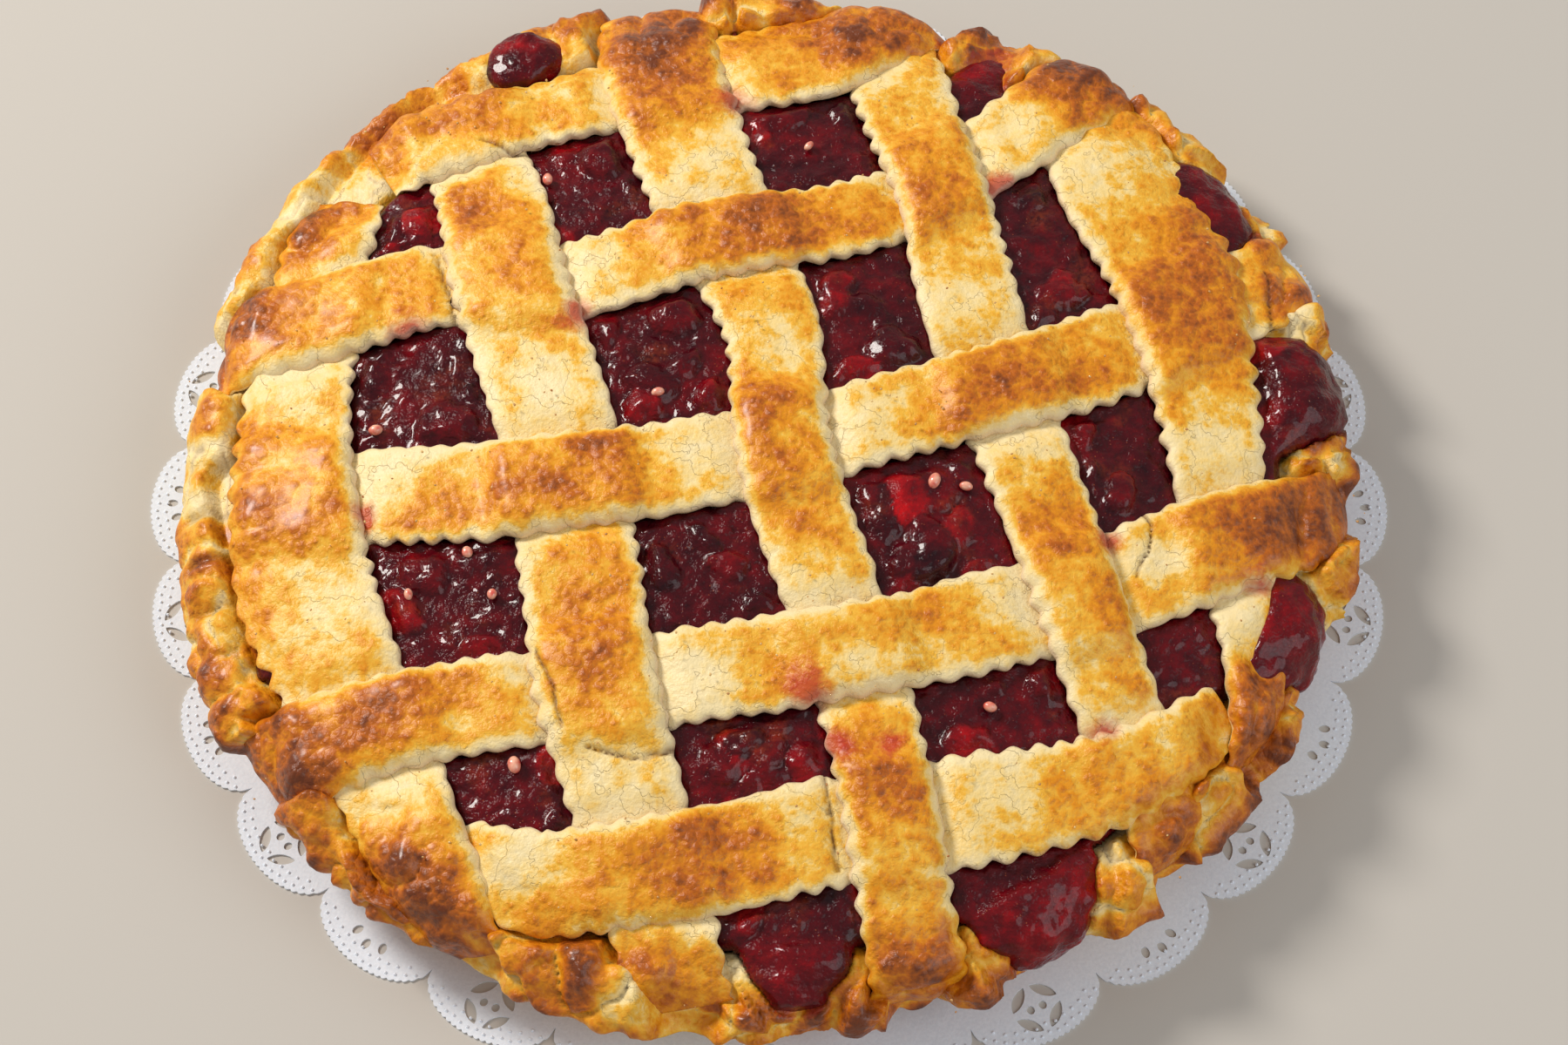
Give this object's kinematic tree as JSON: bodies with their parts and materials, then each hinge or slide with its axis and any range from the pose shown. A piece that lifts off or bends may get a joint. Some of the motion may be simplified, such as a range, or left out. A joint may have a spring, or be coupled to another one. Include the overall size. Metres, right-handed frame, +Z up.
{
  "type": "cherry pie",
  "caption": "Round lattice-topped cherry pie with pinked pastry strips woven over a dark red filling, on a scalloped paper doily.",
  "frame": {"origin": "middle of the doily's underside, on the surface the pie stands on", "axes": "+Z up; +X to the right and +Y to the far side, as seen from the side the pie is served from"},
  "size_m": [0.2484, 0.2484, 0.0374],
  "materials": {
    "paper": "matt white embossed paper",
    "baked_crust": "browned pastry with an egg wash",
    "dough": "pale to golden pastry with an egg wash",
    "cherry_filling": "glossy dark red cooked cherries"
  },
  "bodies": {
    "root": {"doily": "paper", "crust": "baked_crust", "filling": "cherry_filling", "rim_cherry": "cherry_filling", "strip_v1": "dough", "strip_v2": "dough", "strip_v3": "dough", "strip_v4": "dough", "strip_v5": "dough", "strip_h1": "dough", "strip_h2": "dough", "strip_h3": "dough", "strip_h4": "dough", "strip_h5": "dough"}
  },
  "joints": []
}
